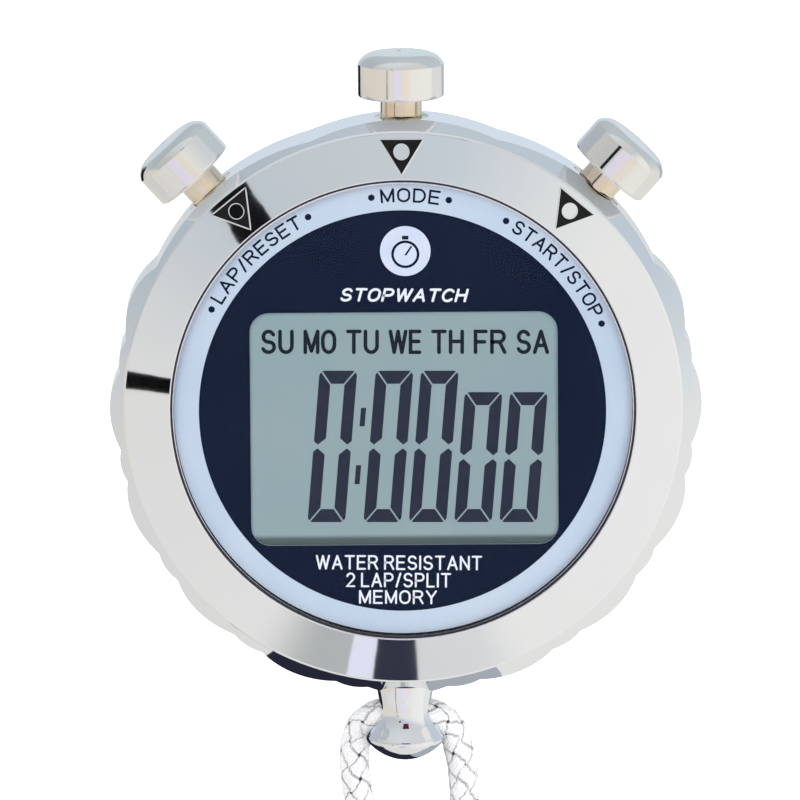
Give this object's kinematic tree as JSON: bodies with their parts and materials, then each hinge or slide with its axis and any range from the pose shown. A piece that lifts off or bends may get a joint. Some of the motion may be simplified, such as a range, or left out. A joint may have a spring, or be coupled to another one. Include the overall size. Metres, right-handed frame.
{
  "type": "stopwatch",
  "caption": "Hand-held digital stopwatch: scalloped chrome case, push buttons at the top, liquid crystal display and a braided neck cord through a bell-shaped pendant.",
  "frame": {"origin": "middle of the back cover's outer face, which the watch rests on", "axes": "+Z comes out of the dial, +Y points to 12 o'clock (the mode button), +X to 3 o'clock; the pendant and the cord are towards -Y"},
  "size_m": [0.0796, 0.1339, 0.0155],
  "materials": {
    "chrome": "mirror polish",
    "nickel": "polished nickel",
    "brass": "turned, nickel-washed",
    "spring_steel": "bright",
    "seal_rubber": "matt",
    "black_enamel": "satin paint in a sunk recess",
    "crystal_glass": "clear",
    "dial_print": "satin print",
    "lcd_film": "grey-green film",
    "lcd_bezel_plastic": "moulded",
    "connector_rubber": "matt",
    "movement_plastic": "moulded",
    "board": "solder mask",
    "chip_resin": "cast resin",
    "battery_steel": "bright",
    "buzzer_brass": "bright",
    "cushion_foam": "foam",
    "cover_steel": "brushed in circles",
    "cord_braid": "braided white and silver cord",
    "ferrule_metal": "crimped",
    "tie_strap": "woven strap"
  },
  "bodies": {
    "root": {"back_cover": "cover_steel", "back_gasket": "seal_rubber", "battery": "battery_steel", "battery_contact": "spring_steel", "battery_strap": "spring_steel", "buzzer_disc": "buzzer_brass", "buzzer_springs": "spring_steel", "case_body": "chrome", "circuit_board": "board", "cover_screws": "spring_steel", "crystal": "crystal_glass", "crystal_gasket": "seal_rubber", "dial_plate": "dial_print", "lanyard_coil": "cord_braid", "lanyard_ferrule": "ferrule_metal", "lanyard_left": "cord_braid", "lanyard_right": "cord_braid", "lanyard_tie": "tie_strap", "lap_reset_bushing": "brass", "lap_reset_spring": "spring_steel", "lcd_connector_strips": "connector_rubber", "lcd_frame": "lcd_bezel_plastic", "lcd_front_glass": "crystal_glass", "lcd_polarizer": "lcd_film", "lcd_rear_glass": "crystal_glass", "lcd_reflector": "lcd_film", "marker_inlays": "black_enamel", "mode_bushing": "brass", "mode_spring": "spring_steel", "module_cushion": "cushion_foam", "module_frame": "movement_plastic", "module_screws": "spring_steel", "pendant": "chrome", "pendant_nut": "spring_steel", "quartz_crystal": "spring_steel", "start_stop_bushing": "brass", "start_stop_spring": "spring_steel", "switch_contacts": "spring_steel", "timing_chip": "chip_resin"},
    "start_stop_button": {"start_stop_cap": "nickel", "start_stop_stem": "brass", "start_stop_seal": "seal_rubber", "start_stop_clip": "spring_steel"},
    "mode_button": {"mode_cap": "nickel", "mode_stem": "brass", "mode_seal": "seal_rubber", "mode_clip": "spring_steel"},
    "lap_reset_button": {"lap_reset_cap": "nickel", "lap_reset_stem": "brass", "lap_reset_seal": "seal_rubber", "lap_reset_clip": "spring_steel"}
  },
  "joints": [
    {"name": "start_stop_press", "type": "slide", "parent": "root", "child": "start_stop_button", "axis": [-0.6691, -0.7431, 0], "range_m": [0, 0.0012], "stiffness_N_per_m": 800, "springref_m": -0.001, "deforming": ["start_stop_spring"]},
    {"name": "mode_press", "type": "slide", "parent": "root", "child": "mode_button", "axis": [0, -1, 0], "range_m": [0, 0.0012], "stiffness_N_per_m": 800, "springref_m": -0.001, "deforming": ["mode_spring"]},
    {"name": "lap_reset_press", "type": "slide", "parent": "root", "child": "lap_reset_button", "axis": [0.6691, -0.7431, 0], "range_m": [0, 0.0012], "stiffness_N_per_m": 800, "springref_m": -0.001, "deforming": ["lap_reset_spring"]}
  ]
}
